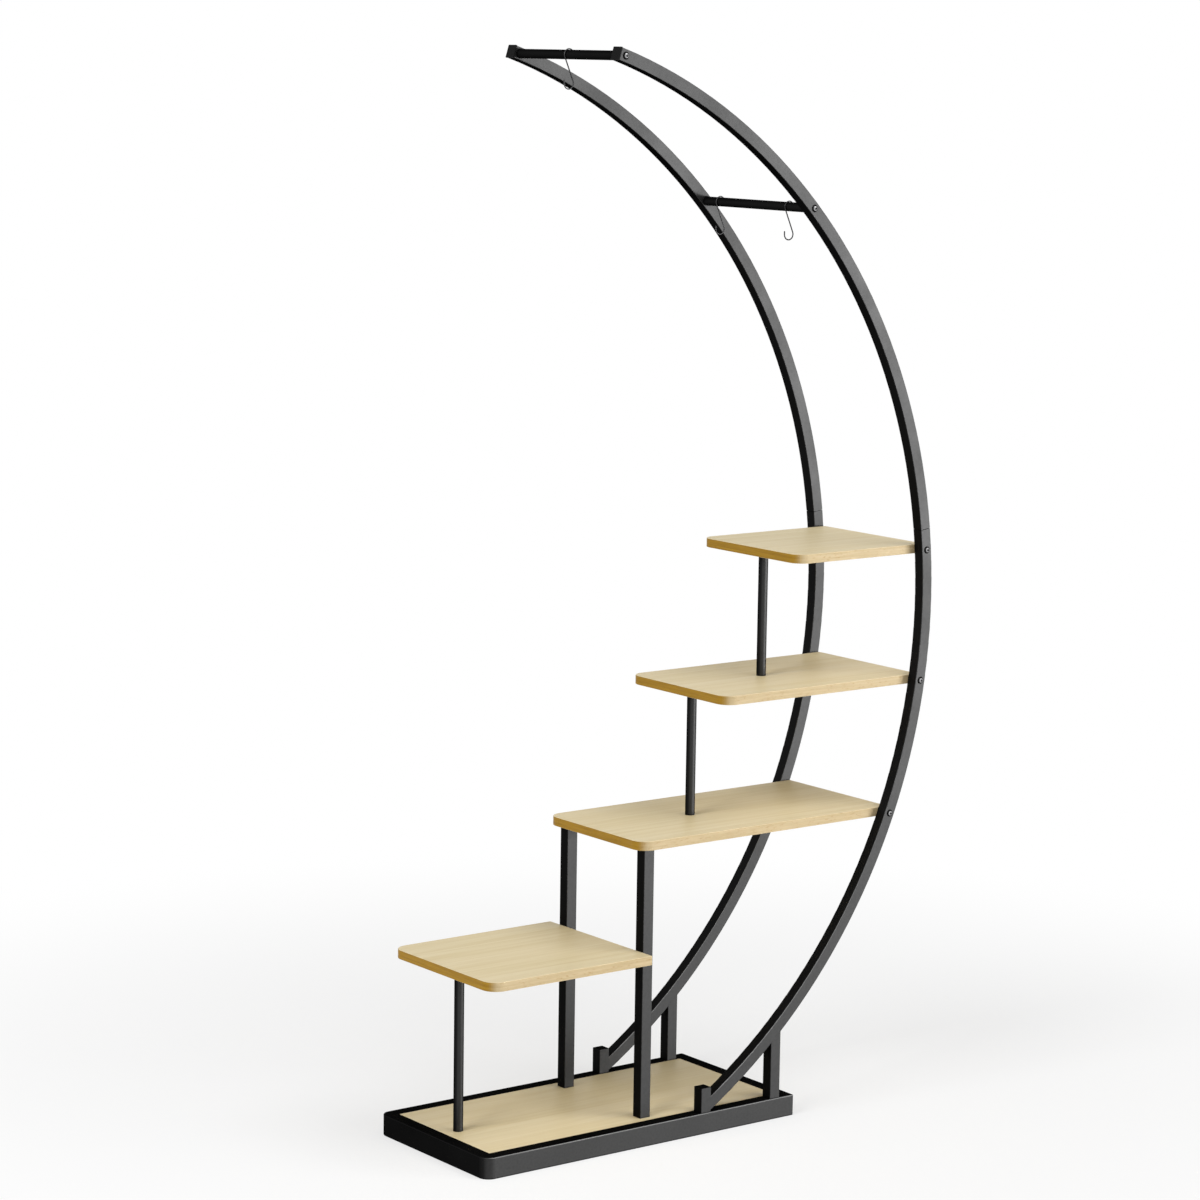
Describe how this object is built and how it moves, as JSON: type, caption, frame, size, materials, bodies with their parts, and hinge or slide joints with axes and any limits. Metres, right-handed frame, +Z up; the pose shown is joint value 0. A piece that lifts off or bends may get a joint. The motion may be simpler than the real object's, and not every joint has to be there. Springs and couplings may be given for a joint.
{
  "type": "plant stand",
  "caption": "Tiered half-moon plant stand: bowed square-tube frame on a tray base, wooden boards stepped up its inside on posts, and bars with S-hooks for hanging pots.",
  "frame": {"origin": "on the floor at the middle of the stand's footprint and overall length", "axes": "+X along the tray towards the bows' far side, +Y from the front to the back, +Z up"},
  "size_m": [0.903, 0.302, 1.7507],
  "materials": {
    "black_steel": "matt black powder coat with a fine grain",
    "board_wood": "pale maple-like face with a soft grain along the length, satin",
    "bolt_steel": "plain bright bolt steel",
    "cap_plastic": "matt black moulded plastic",
    "insert_brass": "plain machined brass",
    "hook_wire": "drawn steel wire, slightly dark"
  },
  "bodies": {
    "stand": {"tray_frame": "black_steel", "tray_board": "board_wood", "lower_bow_front": "black_steel", "lower_bow_back": "black_steel", "upper_bow_front": "black_steel", "upper_bow_back": "black_steel", "splice_sleeves": "black_steel", "bow_caps": "cap_plastic", "shelf_1": "board_wood", "shelf_2": "board_wood", "shelf_3": "board_wood", "shelf_4": "board_wood", "post_front": "black_steel", "post_back": "black_steel", "low_rod": "black_steel", "rod_1": "black_steel", "rod_2": "black_steel", "bar_1": "black_steel", "bar_2": "black_steel", "bow_bolts": "bolt_steel", "foot_bolts": "bolt_steel", "rim_bolts": "bolt_steel", "post_studs": "bolt_steel", "board_inserts": "insert_brass"},
    "top_hook": {"hook_top": "hook_wire"},
    "front_hook": {"hook_front": "hook_wire"},
    "back_hook": {"hook_back": "hook_wire"}
  },
  "joints": [
    {"name": "top_hook_swing", "type": "hinge", "parent": "stand", "child": "top_hook", "pos_m": [-0.20853, -0.002, 1.73711], "axis": [0, 1, 0], "range_deg": [-40, 40]},
    {"name": "front_hook_swing", "type": "hinge", "parent": "stand", "child": "front_hook", "pos_m": [0.17582, -0.0845, 1.49898], "axis": [0, 1, 0], "range_deg": [-40, 40]},
    {"name": "back_hook_swing", "type": "hinge", "parent": "stand", "child": "back_hook", "pos_m": [0.17582, 0.0925, 1.49898], "axis": [0, 1, 0], "range_deg": [-40, 40]}
  ]
}
